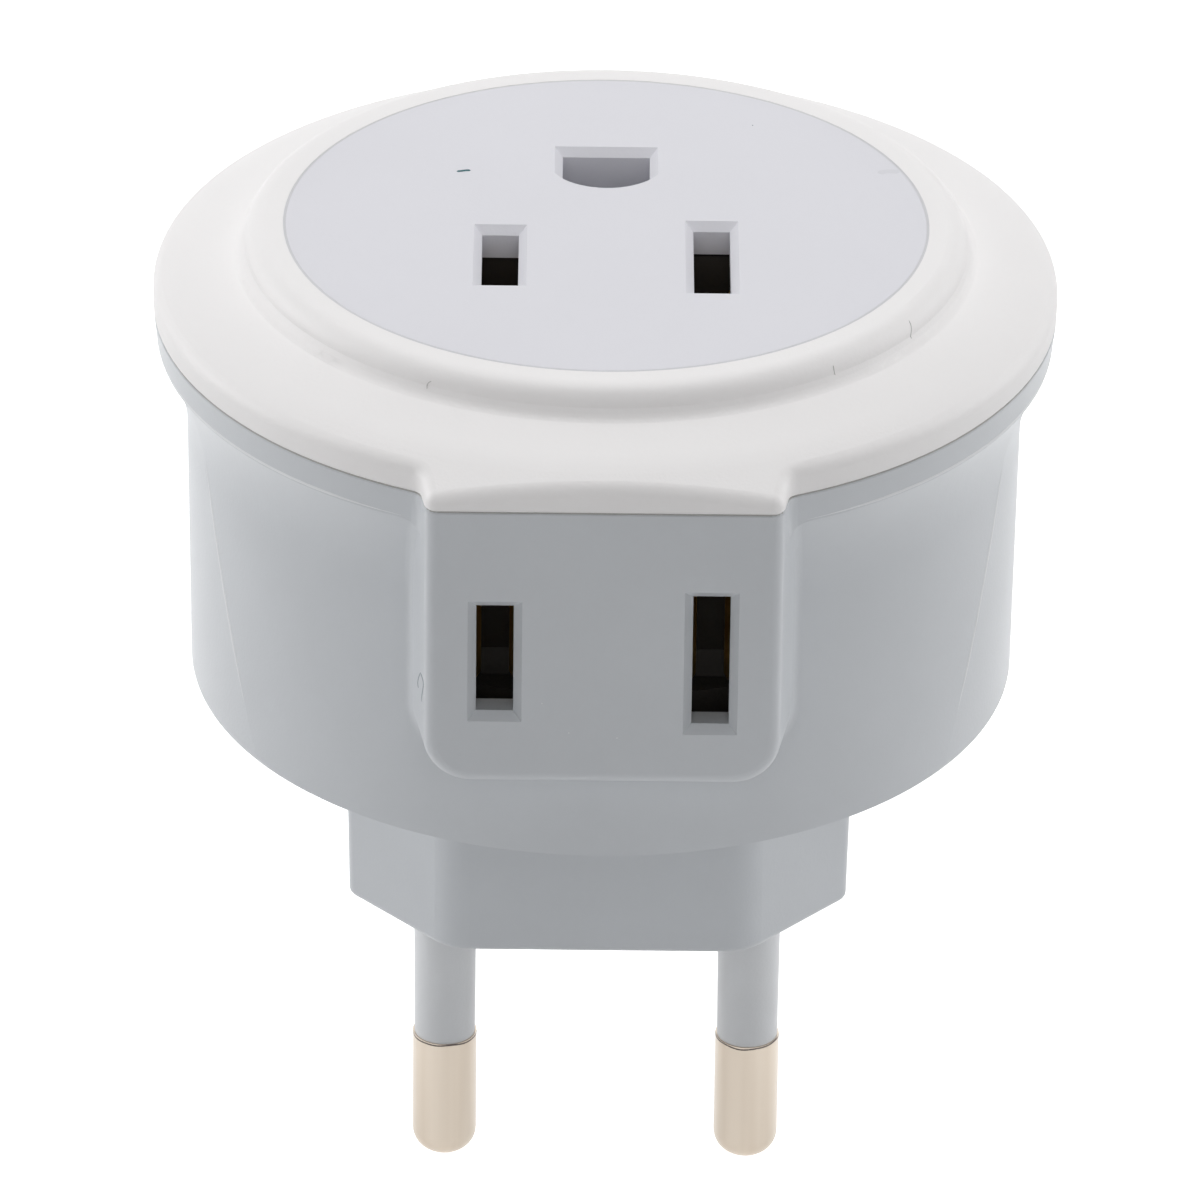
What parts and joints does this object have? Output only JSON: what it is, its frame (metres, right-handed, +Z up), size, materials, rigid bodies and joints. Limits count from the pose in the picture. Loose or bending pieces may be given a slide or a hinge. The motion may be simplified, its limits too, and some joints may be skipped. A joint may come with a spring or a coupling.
{
  "type": "plug adapter",
  "caption": "Round-pin plug adapter: a flanged drum on a tapered plug base, with flat-blade outlets on its top, front and rear and a round ground hole in the top face.",
  "frame": {"origin": "middle of the plug's engagement face, between the two pins", "axes": "+Z up from the plug face to the top outlet, -Y towards the front outlet, +X to the neutral side"},
  "size_m": [0.0546, 0.0548, 0.0655],
  "materials": {
    "shell_plastic": "satin",
    "white_plastic": "satin",
    "face_plastic": "satin",
    "sleeve_plastic": "satin",
    "inner_plastic": "matte",
    "plated_brass": "polished",
    "brass": "satin",
    "steel": "satin"
  },
  "bodies": {
    "root": {"housing": "shell_plastic", "top_cover": "white_plastic", "socket_face": "face_plastic", "plug_pin_left": "plated_brass", "plug_pin_right": "plated_brass", "pin_sleeve_left": "sleeve_plastic", "pin_sleeve_right": "sleeve_plastic", "line_bus_bar": "brass", "neutral_bus_bar": "brass", "top_clip_line": "brass", "top_clip_neutral": "brass", "front_clip_line": "brass", "front_clip_neutral": "brass", "rear_clip_line": "brass", "rear_clip_neutral": "brass", "clip_rivets": "brass", "contact_carrier": "inner_plastic", "insulating_barrier": "inner_plastic", "cover_screws": "steel"}
  },
  "joints": []
}
